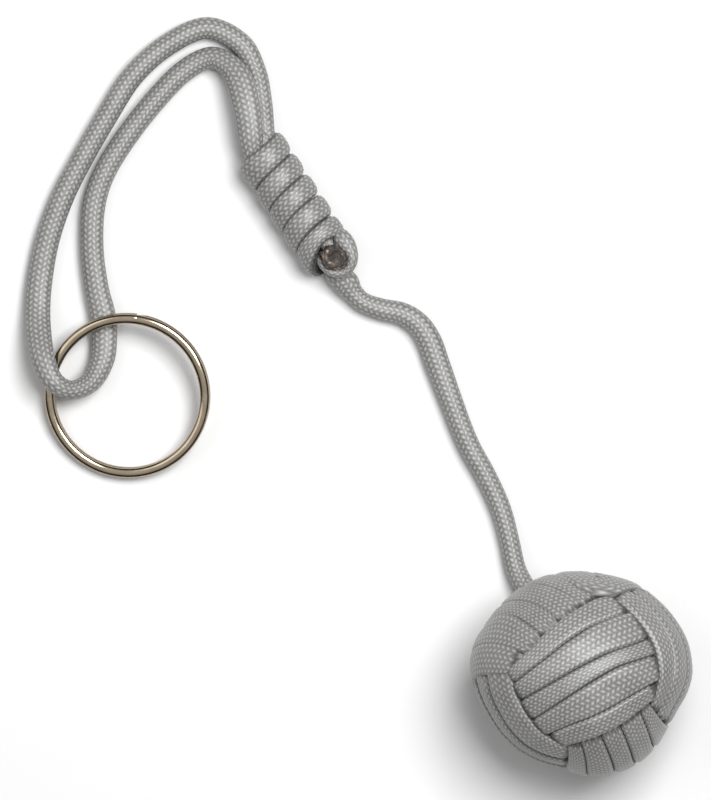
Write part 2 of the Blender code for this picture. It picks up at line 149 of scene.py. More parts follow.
class RingSizes(bpy.types.PropertyGroup):
    outer_diameter: FloatProperty(
        name="Outer diameter", description="Ring across", default=30.0 * MM, unit="LENGTH"
    )
    wire_width: FloatProperty(
        name="Wire width", description="Wire seen from above", default=1.8 * MM, unit="LENGTH"
    )
    wire_height: FloatProperty(
        name="Wire height", description="One turn of wire", default=1.3 * MM, unit="LENGTH"
    )
    nickel: FloatVectorProperty(
        name="Nickel", description="Plated colour", subtype="COLOR", default=linear("#b2a48f")
    )


class StageSizes(bpy.types.PropertyGroup):
    floor: FloatVectorProperty(
        name="Floor", description="Table top", subtype="COLOR", default=linear("#d6d6d6")
    )
    key_power: FloatProperty(
        name="Key light", description="Lamp overhead", default=6.4, unit="POWER"
    )
    sky: FloatProperty(
        name="Room light", description="Strength of the light from all round", default=0.8
    )


def set_inputs(node, inputs):
    """Sets a node's inputs, in order or by name. They are values, or they are sockets to link to or
    nodes, whose first output is then taken."""
    for key, value in inputs.items() if isinstance(inputs, dict) else enumerate(inputs):
        if isinstance(value, bpy.types.Node):
            value = value.outputs[0]
        if isinstance(value, bpy.types.NodeSocket):
            node.id_data.links.new(value, node.inputs[key])
        else:
            node.inputs[key].default_value = value


def add_node(tree, kind, inputs=(), steps=(), **settings):
    """Adds a node with its settings and inputs. The steps are a colour ramp's places and linear
    colours."""
    node = tree.nodes.new(kind)
    for name, value in settings.items():
        setattr(node, name, value)
    set_inputs(node, inputs)
    for index, (place, colour) in enumerate(steps):
        elements = node.color_ramp.elements
        element = elements[index] if index < len(elements) else elements.new(place)
        element.position = place
        element.color = (*colour, 1.0)
    return node


def start_material(name):
    """A material with its shader. Gives the material, its tree, the shader and the places on the
    piece, in metres."""
    material = bpy.data.materials.new(name)
    material.use_nodes = True
    tree = material.node_tree
    solid = add_node(tree, "ShaderNodeTexCoord").outputs["Object"]
    return material, tree, tree.nodes["Principled BSDF"], solid


def braided_nylon():
    """Braided nylon cord: two sets of yarns that lean opposite ways in columns along the cord. Each
    stitch is a short crest of glossy filaments with a painted highlight on it and painted shade
    between stitches, and it has painted shade where it goes under its neighbours."""
    sizes = bpy.context.scene.keychain_cord
    material, tree, shader, solid = start_material("braided_nylon")
    place = add_node(tree, "ShaderNodeUVMap", uv_map=BRAID_MAP)
    split = add_node(tree, "ShaderNodeSeparateXYZ", [place])
    u, v = split.outputs["X"], split.outputs["Y"]
    # The same height as stitch_height gives the mesh: slanting bands in each column.
    zigzag = add_node(tree, "ShaderNodeMath", [u, 1.0], operation="PINGPONG")
    lean = add_node(tree, "ShaderNodeMath", [zigzag, STITCH_LEAN], operation="MULTIPLY")
    pair = add_node(tree, "ShaderNodeMath", [u, 0.5], operation="MULTIPLY")
    pair_part = add_node(tree, "ShaderNodeMath", [pair], operation="FRACT")
    other = add_node(tree, "ShaderNodeMath", [pair_part, 0.5], operation="GREATER_THAN")
    shifted = add_node(tree, "ShaderNodeMath", [other, 0.5, lean], operation="MULTIPLY_ADD")
    phase = add_node(tree, "ShaderNodeMath", [shifted, v], operation="ADD")
    turn = add_node(tree, "ShaderNodeMath", [phase, 2 * pi], operation="MULTIPLY")
    wave = add_node(tree, "ShaderNodeMath", [turn], operation="COSINE")
    band = add_node(tree, "ShaderNodeMath", [wave, 0.5, 0.5], operation="MULTIPLY_ADD")
    part = add_node(tree, "ShaderNodeMath", [u], operation="FRACT")
    half_turn = add_node(tree, "ShaderNodeMath", [part, pi], operation="MULTIPLY")
    arch = add_node(tree, "ShaderNodeMath", [half_turn], operation="SINE")
    rounded = add_node(tree, "ShaderNodeMath", [arch, arch], operation="MULTIPLY")
    arched = [rounded, 1 - EDGE_HEIGHT, EDGE_HEIGHT]
    dome = add_node(tree, "ShaderNodeMath", arched, operation="MULTIPLY_ADD")
    crest = add_node(tree, "ShaderNodeMath", [band, dome], operation="MULTIPLY")
    # A yarn has filaments of about 0.05 mm. They are drawn three times as coarse, seven to a stitch.
    fine_turn = add_node(tree, "ShaderNodeMath", [phase, 2 * pi * 7], operation="MULTIPLY")
    filament = add_node(tree, "ShaderNodeMath", [fine_turn], operation="SINE")
    height = add_node(tree, "ShaderNodeMath", [filament, 0.04, crest], operation="MULTIPLY_ADD")
    # Stitches differ a little in how tight they are, over patches of some 3 mm.
    patches = add_node(tree, "ShaderNodeTexNoise", {"Vector": solid, "Scale": 330.0, "Detail": 3.0})
    tone = add_node(tree, "ShaderNodeMath", [patches, 0.3, -0.15], operation="MULTIPLY_ADD")
    share = add_node(tree, "ShaderNodeMath", [height, tone], operation="ADD")
    # The colour runs from painted shade between the stitches, through the yarn's own grey, to a painted
    # highlight on each stitch's crest.
    shade, yarn = Vector(sizes.shade), Vector(sizes.yarn)
    steps = ((0.0, shade), (0.12, shade.lerp(yarn, 0.26)), (0.5, shade.lerp(yarn, 0.36)), (0.9, yarn))
    colour = add_node(tree, "ShaderNodeValToRGB", [share], steps)
    # Painted shade: where strands press together their sides lie in each other's shade, so their colour
    # is darkened there.
    painted_shade = add_node(tree, "ShaderNodeAttribute", attribute_name=PAINTED_SHADE).outputs["Fac"]
    kept = add_node(tree, "ShaderNodeMath", [painted_shade, -PAINTED_SHADE_STRENGTH, 1.0], operation="MULTIPLY_ADD")
    shaded = {"Vector": colour, "Scale": kept}
    colour = add_node(tree, "ShaderNodeVectorMath", shaded, operation="SCALE")
    gloss = {"Roughness": 0.42, "IOR": 1.53, "Sheen Weight": 0.15, "Sheen Roughness": 0.35}
    # The stitches stand up in the mesh, so the bump only makes them crisper and adds the filaments.
    relief = sizes.relief * 0.4
    bump = add_node(tree, "ShaderNodeBump", {"Height": height, "Strength": 0.4, "Distance": relief})
    set_inputs(shader, {"Base Color": colour, "Normal": bump, **gloss})
    return material


def melted_nylon():
    """Nylon melted by a flame: a dark, burnt, rough crust with brown where it is thin."""
    material, tree, shader, solid = start_material("melted_nylon")
    # Its lumps and blisters are a little over 1 mm.
    lumps = add_node(tree, "ShaderNodeTexNoise", {"Vector": solid, "Scale": 800.0, "Detail": 5.0})
    steps = (
        (0.0, linear("#121110")),
        (0.5, linear("#2b2622")),
        (0.6, linear("#52443a")),
        (0.74, linear("#b3a797")),
    )
    colour = add_node(tree, "ShaderNodeValToRGB", [lumps], steps)
    bump = add_node(tree, "ShaderNodeBump", {"Height": lumps, "Strength": 1.0, "Distance": 0.5 * MM})
    set_inputs(shader, {"Base Color": colour, "Roughness": 0.6, "Normal": bump})
    return material


def nickel_plated_wire():
    """Nickel plated spring wire: a warm mirror, a little duller and darker where keys rub it."""
    material, tree, shader, solid = start_material("nickel_plated_wire")
    # The rubbed patches are some 2 mm long.
    worn = add_node(tree, "ShaderNodeTexNoise", {"Vector": solid, "Scale": 500.0, "Detail": 4.0})
    nickel = Vector(bpy.context.scene.keychain_ring.nickel)
    colour = add_node(tree, "ShaderNodeValToRGB", [worn], ((0.35, nickel * 0.86), (0.7, nickel)))
    rough = add_node(tree, "ShaderNodeMath", [worn, 0.16, 0.06], operation="MULTIPLY_ADD")
    set_inputs(shader, {"Base Color": colour, "Metallic": 1.0, "Roughness": rough})
    return material


def polished_steel():
    """Polished bearing steel of the ball inside the fist, which no one sees: an even mirror."""
    material, tree, shader, solid = start_material("polished_steel")
    # The cord leaves faint marks of some 2.5 mm on it.
    marks = add_node(tree, "ShaderNodeTexNoise", {"Vector": solid, "Scale": 400.0, "Detail": 3.0})
    rough = add_node(tree, "ShaderNodeMath", [marks, 0.2, 0.1], operation="MULTIPLY_ADD")
    colour = (*linear("#c8c8ca"), 1.0)
    set_inputs(shader, {"Base Color": colour, "Metallic": 1.0, "Roughness": rough})
    return material


def white_card():
    """Matt white card of the table, with hardly any tooth."""
    material, tree, shader, solid = start_material("white_card")
    # Card's tooth is too fine to show, so it is drawn as faint patches of some 17 mm.
    tooth = add_node(tree, "ShaderNodeTexNoise", {"Vector": solid, "Scale": 60.0, "Detail": 2.0})
    floor = Vector(bpy.context.scene.keychain_stage.floor)
    colour = add_node(tree, "ShaderNodeValToRGB", [tooth], ((0.0, floor * 0.985), (1.0, floor)))
    set_inputs(shader, {"Base Color": colour, "Roughness": 0.9})
    return material


def finish_of(make):
    """The material that a function makes, which has its name, made once and shared by all pieces."""
    return bpy.data.materials.get(make.__name__) or make()


def smooth_rows(rows):
    """Rows on the smooth curve through the given rows: places, and any sizes that change with them."""
    rows = np.vstack((2 * rows[0] - rows[1], rows, 2 * rows[-1] - rows[-2]))
    parts = 24
    t = (np.arange(parts) / parts)[:, None]
    fine = []
    for before, start, end, after in zip(rows, rows[1:], rows[2:], rows[3:]):
        fine.append(
            0.5
            * (
                2 * start
                + (end - before) * t
                + (2 * before - 5 * start + 4 * end - after) * t**2
                + (3 * start - before - 3 * end + after) * t**3
            )
        )
    return np.vstack((*fine, rows[-2]))


def row_spacing():
    """How far apart the rows of a strand are."""
    return bpy.context.scene.keychain_cord.stitch / ROWS_PER_STITCH


def even_rows(rows):
    """The rows again, evenly spaced along the line that their first three numbers make."""
    steps = np.linalg.norm(np.diff(rows[:, :3], axis=0), axis=1)
    travelled = np.concatenate(([0.0], np.cumsum(steps)))
    count = max(round(travelled[-1] / row_spacing()), 2)
    wanted = np.linspace(0, travelled[-1], count + 1)
    return np.column_stack([np.interp(wanted, travelled, column) for column in rows.T])


def stitch_height(u, v):
    """How high the braid stands at a place on it, from 0 to 1, as the material draws it."""
    # The small number is for column edges that are a rounding error short.
    column = np.floor(u + 1e-6)
    part = u - column
    other = column % 2
    lean = STITCH_LEAN * np.where(other > 0.5, 1 - part, part)
    band = 0.5 + 0.5 * np.cos(2 * pi * (v + lean + 0.5 * other))
    return band * (EDGE_HEIGHT + (1 - EDGE_HEIGHT) * np.sin(pi * part) ** 2)


def rounded_box(turn, power):
    """A place on a unit shape between a circle (power 2) and a square, at an angle round it."""
    c, s = np.cos(turn), np.sin(turn)
    return np.sign(c) * np.abs(c) ** (2 / power), np.sign(s) * np.abs(s) ** (2 / power)


def section_turns(columns, power, flatness):
    """The angles round a section at which these columns of stitches stand, evenly along its outline.

    They start and end at its underside. The outline is measured in steps of about 0.1 degrees.
    """
    turn = np.linspace(-pi / 2, 3 * pi / 2, 4001)
    x, y = rounded_box(turn, power)
    steps = np.hypot(np.diff(x), np.diff(y * flatness))
    outline = np.concatenate(([0.0], np.cumsum(steps)))
    share = columns / columns[-1]
    return np.interp(share * outline[-1], outline, turn)


def cord_columns():
    """Four places to a column of stitches, all round the cord."""
    return np.arange(4 * bpy.context.scene.keychain_cord.columns + 1) / 4


def fist_columns():
    """Three places to a column on the strand's outer half, and one on its hidden inner half."""
    count = bpy.context.scene.keychain_fist.columns
    low, high = count // 4, count - count // 4
    outer = np.arange(3 * low, 3 * high) / 3
    return np.concatenate((np.arange(low), outer, np.arange(high, count + 1)))


def braided_strand(name, rows, ups, columns, power=2.2, first_stitch=0.0, shape=None, under=None):
    """A strand of braid as one closed mesh, over rows of x, y, z, half width and half height.

    The ups are the rows' outward directions, or one for all, and power is how square its section
    is. Shape, where given, moves the finished places. A strand pressed between others gives under,
    how far it is down beneath the next one at each row, as painted shade, and has an attribute of
    painted shade that rises from 0 on its outer face to 1 down its sides and beneath.
    """
    cord = bpy.context.scene.keychain_cord
    middle, halves = rows[:, :3], rows[:, 3:5]
    along = np.gradient(middle, axis=0)
    along /= np.linalg.norm(along, axis=1)[:, None]
    across = np.cross(along, ups)
    across /= np.linalg.norm(across, axis=1)[:, None]
    upward = np.cross(across, along)
    stitches = first_stitch + np.arange(len(rows)) / ROWS_PER_STITCH

    flatness = float(np.median(halves[:, 1] / halves[:, 0]))
    turns = section_turns(columns, power, flatness)
    x, y = rounded_box(turns, power)
    lean_x = np.sign(x) * np.abs(np.cos(turns)) ** (2 - 2 / power)
    lean_y = np.sign(y) * np.abs(np.sin(turns)) ** (2 - 2 / power)
    out_x = lean_x[None, :] / halves[:, :1]
    out_y = lean_y[None, :] / halves[:, 1:]
    length = np.hypot(out_x, out_y)
    raised = cord.relief * (stitch_height(columns[None, :], stitches[:, None]) - EVEN_HEIGHT)
    side = halves[:, :1] * x[None, :] + out_x / length * raised
    rise = halves[:, 1:] * y[None, :] + out_y / length * raised
    places = middle[:, None, :] + across[:, None, :] * side[:, :, None]
    places = places + upward[:, None, :] * rise[:, :, None]
    if shape:
        places = shape(places.reshape(-1, 3)).reshape(places.shape)
    places[:, -1] = places[:, 0]

    bm = bmesh.new()
    bmesh.ops.create_grid(bm, x_segments=len(columns) - 1, y_segments=len(rows) - 1, size=1.0)
    mesh = mesh_of(name, bm)
    mesh.vertices.foreach_set("co", places.astype(np.float32).ravel())
    if under is not None:
        # Painted shade: a side darkens from 0.7 of the strand's half height down to 0.2, and is all
        # dark below.
        depth = np.maximum(np.clip((0.7 - y) / 0.5, 0, 1)[None, :], under[:, None])
        layer = mesh.attributes.new(PAINTED_SHADE, "FLOAT", "POINT")
        layer.data.foreach_set("value", depth.astype(np.float32).ravel())
    corners = np.empty(len(mesh.loops), np.int32)
    mesh.loops.foreach_get("vertex_index", corners)
    braid = np.column_stack((np.tile(columns, len(rows)), np.repeat(stitches, len(columns))))
    layer = mesh.uv_layers.new(name=BRAID_MAP)
    layer.uv.foreach_set("vector", braid[corners].astype(np.float32).ravel())

    # The grid's long edges are joined to a tube, and its two ends are closed.
    bm = bmesh.new()
    bm.from_mesh(mesh)
    seam = [vert for vert in bm.verts if vert.is_boundary]
    bmesh.ops.remove_doubles(bm, verts=seam, dist=1e-7)
    open_edges = [edge for edge in bm.edges if edge.is_boundary]
    bmesh.ops.holes_fill(bm, edges=open_edges, sides=0)
    bmesh.ops.recalc_face_normals(bm, faces=bm.faces)
    bm.to_mesh(mesh)
    bm.free()
    # Only the rims of its flat ends are sharper than the stitches.
    mesh.shade_smooth()
    mesh.set_sharp_from_angle(angle=radians(70))
    return add_piece(name, mesh, finish_of(braided_nylon))


def mesh_of(name, bm):
    """The bmesh as a mesh of that name. The bmesh is done with then."""
    mesh = bpy.data.meshes.new(name)
    bm.to_mesh(mesh)
    bm.free()
    return mesh


def add_piece(name, mesh, material):
    """The mesh as an object at the origin, with its material."""
    mesh.materials.append(material)
    piece = bpy.data.objects.new(name, mesh)
    bpy.context.scene.collection.objects.link(piece)
    return piece


# The free cord's routes, in millimetres in the frame. Each row has x, y and the height of the middle,
# then the half width and the half height.
LOOP_ROUTE = (
    (-17.2, 54.8, 4.2, 1.8, 1.6),
    (-18.3, 57.6, 3.9, 2, 1.8),
    (-18.6, 60.6, 3.5, 2.05, 1.9),
    (-18.9, 63.6, 3, 2.05, 1.95),
    (-19.9, 69, 2.3, 2, 2),
    (-22.6, 74.1, 2.22, 2, 2),
    (-28.7, 76.9, 2.02, 2, 2),
    (-35.7, 73.9, 2.02, 2, 2),
    (-42, 68.3, 2.02, 2, 2),
    (-46.9, 60.7, 2.02, 2, 2),
    (-51.1, 53.4, 2.02, 2, 2),
    (-54.7, 46.4, 2.02, 2.1, 2),
    (-57.4, 38.8, 2.02, 2.2, 1.95),
    (-58.8, 31.6, 2.12, 2.3, 1.85),
    (-59.2, 26, 2.92, 2.3, 1.8),
    (-58.9, 21.1, 4.81, 2.3, 1.8),
    (-58, 16.6, 6.87, 2.15, 1.8),
    (-56.2, 13, 7.29, 1.9, 1.85),
    (-53.1, 11.5, 5.92, 1.75, 1.9),
    (-49.6, 13, 3.92, 1.9, 1.9),
    (-47.6, 16.8, 2.5, 2.2, 1.85),
    (-47.2, 20.9, 2.02, 2.35, 1.8),
    (-47.5, 25.1, 2.02, 2.35, 1.8),
    (-48.6, 30.1, 2.02, 2.2, 1.9),
    (-49.4, 37.1, 2.02, 2.1, 2),
    (-49.1, 44.6, 2.02, 2.1, 2),
    (-47.2, 50.6, 2.02, 2, 2),
    (-43.4, 56.9, 2.02, 2, 2),
    (-38.3, 63.5, 2.02, 2, 2),
    (-33.1, 68.9, 2.02, 2, 2),
    (-28.3, 71.5, 2.4, 2, 2),
    (-25, 70.4, 3.6, 2.1, 1.95),
    (-22.9, 67.8, 5, 2.4, 1.8),
    (-21.8, 64.3, 6, 2.5, 1.7),
    (-21.1, 60.8, 6.4, 2.4, 1.7),
    (-20.7, 57.6, 6.3, 2.3, 1.7),
    (-20.4, 55.2, 5.8, 2.1, 1.7),
    (-19.8, 53, 5.2, 1.9, 1.7),
    (-18.8, 51, 4.8, 1.6, 1.6),
)
LINK_ROUTE = (
    (-6.9, 33.6, 4, 1.5, 1.6),
    (-5.3, 32.2, 3.6, 1.9, 1.8),
    (-3.6, 30.9, 2.9, 2.4, 1.9),
    (-2.2, 29, 2.3, 1.9, 1.9),
    (-0.3, 27.3, 2.05, 1.8, 2),
    (3, 26.1, 2.02, 1.95, 2),
    (6.6, 25.3, 2.02, 2.05, 2),
    (9.5, 23.4, 2.02, 2.15, 2),
    (11.5, 20.4, 2.02, 2.25, 1.95),
    (13, 16.3, 2.02, 2.25, 1.95),
    (15.1, 10.6, 2.02, 2.1, 2),
    (17.4, 4.5, 2.02, 2, 2),
    (19.2, 0.5, 2.02, 1.95, 2),
    (21.7, -3.9, 2.02, 1.9, 2),
    (24.4, -9.8, 2.02, 1.85, 2),
    (26, -15.6, 2.02, 1.8, 2),
    (27.1, -20.6, 2.22, 1.85, 2),
    (28.9, -24.3, 3.42, 1.9, 2),
    (31.316, -27.9, 5.32, 2, 2),
)
# How much of the cord to the fist is its piece at the fist.
FIST_END_LENGTH = 30.5 * MM
# How much of each of the loop's legs, from the coil on, is a piece of its own.
LOOP_LEG_LENGTH = 32 * MM
# Where the loop's legs start to bend, and which way and how far the bend goes on.
LOOP_BEND_START = Vector((-19.7, 57.5, 5.0)) * MM
LOOP_BEND = Vector((-0.3, 0.95, 0)) * 14 * MM
# Which way and how far the cord to the fist bends, at the coil and at the fist.
LINK_BEND = Vector((0.5, -0.86, 0)) * 0.012
FIST_BEND = Vector((0.51, -0.86, 0)) * 0.010


def cord_rows(route):
    """The rows of a strand along a route, in metres."""
    return even_rows(smooth_rows(np.array(route) * MM))


def rounded_ends(rows, first=True, last=True):
    """The rows with their sizes drawn in like a dome at the ends."""
    rows = rows.copy()
    count = 2 * ROWS_PER_STITCH
    shares = np.sqrt(1 - (1 - np.arange(1, count + 1) / (count + 1)) ** 2)
    if first:
        rows[:count, 3:5] *= shares[:, None]
    if last:
        rows[-count:, 3:5] *= shares[::-1, None]
    return rows


def free_cord(name, rows, cut, bodies, node, start=None):
    """A free stretch of cord on one body, or one between two bodies that stays where it is built. Cut
    is the row of the whole cord at which it starts."""
    stitch = cut / ROWS_PER_STITCH
    piece = braided_strand(name, rows, UP, cord_columns(), first_stitch=stitch)
    if start is None:
        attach(piece, *bodies)
    else:
        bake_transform(piece)
    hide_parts(node)
    return piece


class KEYCHAIN_OT_stage(bpy.types.Operator):
    """Adds the table, the lights and the camera, which looks straight down"""

    bl_idname = "keychain.stage"
    bl_label = "Stage"

    def execute(self, context):
        sizes = context.scene.keychain_stage
        bm = bmesh.new()
        bmesh.ops.create_grid(bm, x_segments=1, y_segments=1, size=3.0)
        add_piece("table", mesh_of("table", bm), finish_of(white_card))

        # The key light is above the object's upper right, and the weak fill light is at its left.
        lamps = (
            ("key_light", (0.18, 0.17, 0.66), sizes.key_power, 0.34),
            ("fill_light", (-0.45, 0.1, 0.45), sizes.key_power * 0.16, 0.5),
        )
        for name, place, power, size in lamps:
            data = bpy.data.lights.new(name, "AREA")
            data.energy, data.size = power, size
            lamp = bpy.data.objects.new(name, data)
            lamp.location = place
            lamp.rotation_euler = Vector(place).to_track_quat("Z", "Y").to_euler()
            context.scene.collection.objects.link(lamp)

        world = bpy.data.worlds.new("studio")
        context.scene.world = world
        world.use_nodes = True
        tree = world.node_tree
        # Light overhead and dark lower down, so that metal has something dark to mirror.
        way = add_node(tree, "ShaderNodeTexCoord").outputs["Generated"]
        height = add_node(tree, "ShaderNodeSeparateXYZ", [way]).outputs["Z"]
        steps = (
            (0.0, linear("#6a645c")),
            (0.25, linear("#1e1c1a")),
            (0.6, linear("#2a2725")),
            (0.84, linear("#dcdcdc")),
            (1.0, linear("#ffffff")),
        )
        colour = add_node(tree, "ShaderNodeValToRGB", [height], steps)
        set_inputs(tree.nodes["Background"], {"Color": colour, "Strength": sizes.sky})
        context.scene.view_settings.view_transform = "Standard"

        data = bpy.data.cameras.new("camera")
        data.sensor_width = 36.0
        # The photograph shows 144.67 mm of the table from top to bottom, seen from far enough away to
        # look flat.
        distance, seen_height = 2.5, 0.14467
        data.lens = data.sensor_width * distance / seen_height
        data.clip_end = 10.0
        camera = bpy.data.objects.new("camera", data)
        camera.location = (-0.00181, 0.0097, distance)
        context.scene.collection.objects.link(camera)
        context.scene.camera = camera
        return {"FINISHED"}


class KEYCHAIN_OT_loop(bpy.types.Operator):
    """Adds the loop of cord that carries the ring"""

    bl_idname = "keychain.loop"
    bl_label = "Loop"

    def execute(self, context):
        # Each leg is a piece of its own as far as just past the coil, and the rest is one piece.
        rows = rounded_ends(cord_rows(LOOP_ROUTE))
        first = round(LOOP_LEG_LENGTH / row_spacing())
        last = len(rows) - 1 - first
        start, end = LOOP_BEND_START, LOOP_BEND_START + LOOP_BEND
        outer, rest, inner = rows[: first + 1], rows[first : last + 1], rows[last:]
        free_cord("loop_braid_outer_leg", outer, 0, ("knot", "loop"), "loop_cord", start)
        free_cord("loop_braid_inner_leg", inner, last, ("knot", "loop"), "loop_cord", start)
        free_cord("loop_braid", rest, first, ("loop",), "loop_cord")
        return {"FINISHED"}


class KEYCHAIN_OT_link(bpy.types.Operator):
    """Adds the cord from the coil to the fist, in two pieces that meet where it lies straight"""

    bl_idname = "keychain.link"
    bl_label = "Cord to the fist"

    def execute(self, context):
        rows = cord_rows(LINK_ROUTE)
        cut = len(rows) - 1 - round(FIST_END_LENGTH / row_spacing())
        coil_end = rounded_ends(rows[: cut + 1], last=False)
        fist_end = rounded_ends(rows[cut:], first=False)
        first, last = Vector(JOINTS["link_swing"]["pos_m"]), Vector(rows[-1, :3])
        # Each bend starts or ends a tenth of its length beyond the joint.
        start, end = first - LINK_BEND * 0.1, first + LINK_BEND
        free_cord("link_braid_coil_end", coil_end, 0, ("knot", "link"), "link_cord", start)
        start, end = last - FIST_BEND, last + FIST_BEND * 0.1
        free_cord("link_braid_fist_end", fist_end, cut, ("link", "fist"), "link_cord", start)
        return {"FINISHED"}


# The coil's top end, the way from there to its lower end and the way across it.
COIL_TOP = Vector((-18.5, 56.4, 4.77)) * MM
COIL_ALONG = Vector((cos(radians(-57.8)), sin(radians(-57.8)), 0))
COIL_ACROSS = UP.cross(COIL_ALONG)
# How far along the coil its first wrap lies, what is left beside a wrap, and how far the coil's own
# weight presses it out to each side.
FIRST_WRAP = 2.33 * MM
WRAP_GAP = 0.08 * MM
COIL_SPREAD = 0.35 * MM
# The two strands inside the wraps: how far along the coil and how high their middles are, and their
# half width and half height, in millimetres.
INNER_ROUTES = {
    "tail": ((-1.1, 5.77), (19.5, 5.77), (22.5, 5.77), (24.3, 6.2), (25.9, 6.25)),
    "standing": ((-1.1, 3.77), (20.5, 3.77), (23.5, 3.27), (26, 2.32), (26.8, 2.32)),
}
INNER_HALVES = (1.4, 0.85)


class KEYCHAIN_OT_coil(bpy.types.Operator):
    """Adds the wraps of the coil knot and the two strands inside them"""

    bl_idname = "keychain.coil"
    bl_label = "Coil knot"

    def execute(self, context):
        sizes = context.scene.keychain_coil
        # Nearly five turns, from the underside, in steps of less than a degree.
        turns = np.radians(np.linspace(-90, 1690, 2000))[:, None]
        outward = np.array(COIL_ACROSS) * np.cos(turns) + np.array(UP) * np.sin(turns)
        travelled = FIRST_WRAP + sizes.pitch * turns / (2 * pi) - sizes.slant * np.cos(turns)
        radius = sizes.bore + sizes.thickness / 2
        # The first wrap is drawn out at the left, and the last one is pressed back by the melted end.
        early = np.exp(-(((turns - pi) / 1.5) ** 2))
        late = np.exp(-(((turns - radians(1530)) / 1.0) ** 2))
        travelled = travelled - (0.55 * early + 0.6 * late) * MM
        # On their upper side the wraps lean back to the coil's top, more so further down.
        travelled -= np.interp(travelled, (3 * MM, 18 * MM), (0.1 * MM, 1.0 * MM)) * np.sin(turns)
        # The knot lies a little to the lower left of its own straight line, more so at its top.
        aside = np.interp(travelled, (0, 24 * MM), (-1.45 * MM, -0.95 * MM))
        middle = np.array(COIL_TOP) + np.array(COIL_ALONG) * travelled + np.array(COIL_ACROSS) * aside
        middle += outward * radius + np.array(COIL_ACROSS) * np.cos(turns) * COIL_SPREAD
        half_width = sizes.pitch / 2 - WRAP_GAP + (0.45 * early - 0.55 * late) * MM
        half_height = np.full_like(turns, sizes.thickness / 2)
        rows = even_rows(np.hstack((middle, half_width, half_height, outward)))
        strand, ups = rounded_ends(rows[:, :5]), rows[:, 5:]
        # The wraps dive under nothing, so their painted shade lies only down their sides, in the
        # grooves between wraps.
        under = np.zeros(len(rows))
        wraps = braided_strand("coil_braid", strand, ups, cord_columns(), power=2.6, under=under)
        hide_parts("coil_wraps")
        self.finish_piece(wraps)

        for name, route in INNER_ROUTES.items():
            table = []
            for along, height in route:
                place = COIL_TOP + COIL_ALONG * along * MM
                table.append((place.x / MM, place.y / MM, height, *INNER_HALVES))
            rows = cord_rows(table)
            strand = braided_strand(f"{name}_braid", rows, UP, cord_columns())
            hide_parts(f"{name}_strand")
            self.finish_piece(strand)
        return {"FINISHED"}

    @staticmethod
    def finish_piece(piece):
        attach(piece, "knot")


# The melted end's middle, and its half sizes in x, y and height before it sinks in.
CUT_END_CENTRE = Vector((-5.65, 35.4, 8.2)) * MM
CUT_END_HALVES = (2.6 * MM, 2.184 * MM, 1.3 * MM)

# The strand round the melted end, from under the last wrap: rows as in the cord's routes.
EYE_ROUTE = (
    (-5.3, 40.2, 6.2, 1.3, 1.3),
    (-4.2, 38.9, 6.9, 1.6, 1.5),
    (-3.1, 37.3, 7.2, 1.5, 1.5),
    (-2.35, 35.6, 7.3, 1.05, 1.5),
    (-2.6, 34, 7.2, 0.9, 1.4),
    (-3.7, 32.8, 7, 0.8, 1.3),
    (-5.3, 32.5, 6.9, 0.75, 1.3),
    (-6.8, 33.1, 6.8, 0.7, 1.2),
    (-8, 34.3, 6.6, 0.65, 1.1),
    (-8.5, 35.6, 5.8, 0.6, 1),
)


class KEYCHAIN_OT_cut_end(bpy.types.Operator):
    """Adds the melted end of the cord"""

    bl_idname = "keychain.cut_end"
    bl_label = "Melted end"

    def execute(self, context):
        bm = bmesh.new()
        bmesh.ops.create_icosphere(bm, subdivisions=5, radius=1.0)
        # Waves in random directions make its lumps. It is flatter than a ball, and its middle has
        # sunk in as it cooled.
        count = 14
        rng = np.random.default_rng(7)
        waves = rng.normal(0, 4.5, (count, 3))
        starts = rng.uniform(0, 2 * pi, count)
        for vert in bm.verts:
            place = np.array(vert.co)
            lump = float(np.sin(waves @ place * 1.6 + starts).sum()) / count
            hollow = max(0.0, 1 - (place[0] ** 2 + place[1] ** 2) / 0.6) if place[2] > 0 else 0.0
            reach = 1 + 0.45 * lump
            height = place[2] * reach * 0.72 - 0.5 * hollow
            vert.co = Vector((place[0] * reach, place[1] * reach, height))
        bmesh.ops.scale(bm, verts=bm.verts, vec=CUT_END_HALVES)
        bmesh.ops.translate(bm, verts=bm.verts, vec=CUT_END_CENTRE)
        bmesh.ops.recalc_face_normals(bm, faces=bm.faces)
        mesh = mesh_of("melted_end", bm)
        mesh.shade_smooth()
        piece = add_piece("melted_end", mesh, finish_of(melted_nylon))
        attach(piece, "knot")
        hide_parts("cut_end")
        return {"FINISHED"}


class KEYCHAIN_OT_eye(bpy.types.Operator):
    """Adds the half turn of cord round the melted end"""

    bl_idname = "keychain.eye"
    bl_label = "Eye round the end"

    def execute(self, context):
        rows = rounded_ends(cord_rows(EYE_ROUTE))
        piece = braided_strand("eye_braid", rows, UP, cord_columns(), power=2.3)
        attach(piece, "knot")
        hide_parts("eye_turn")
        return {"FINISHED"}


# The fist's own axes in the frame: X and Y along its upper face, Z out of it.
FIST_CENTRE = Vector((38.607, -39.567, 19.42)) * MM
FIST_AXES = Matrix.Rotation(radians(32), 3, "Z")

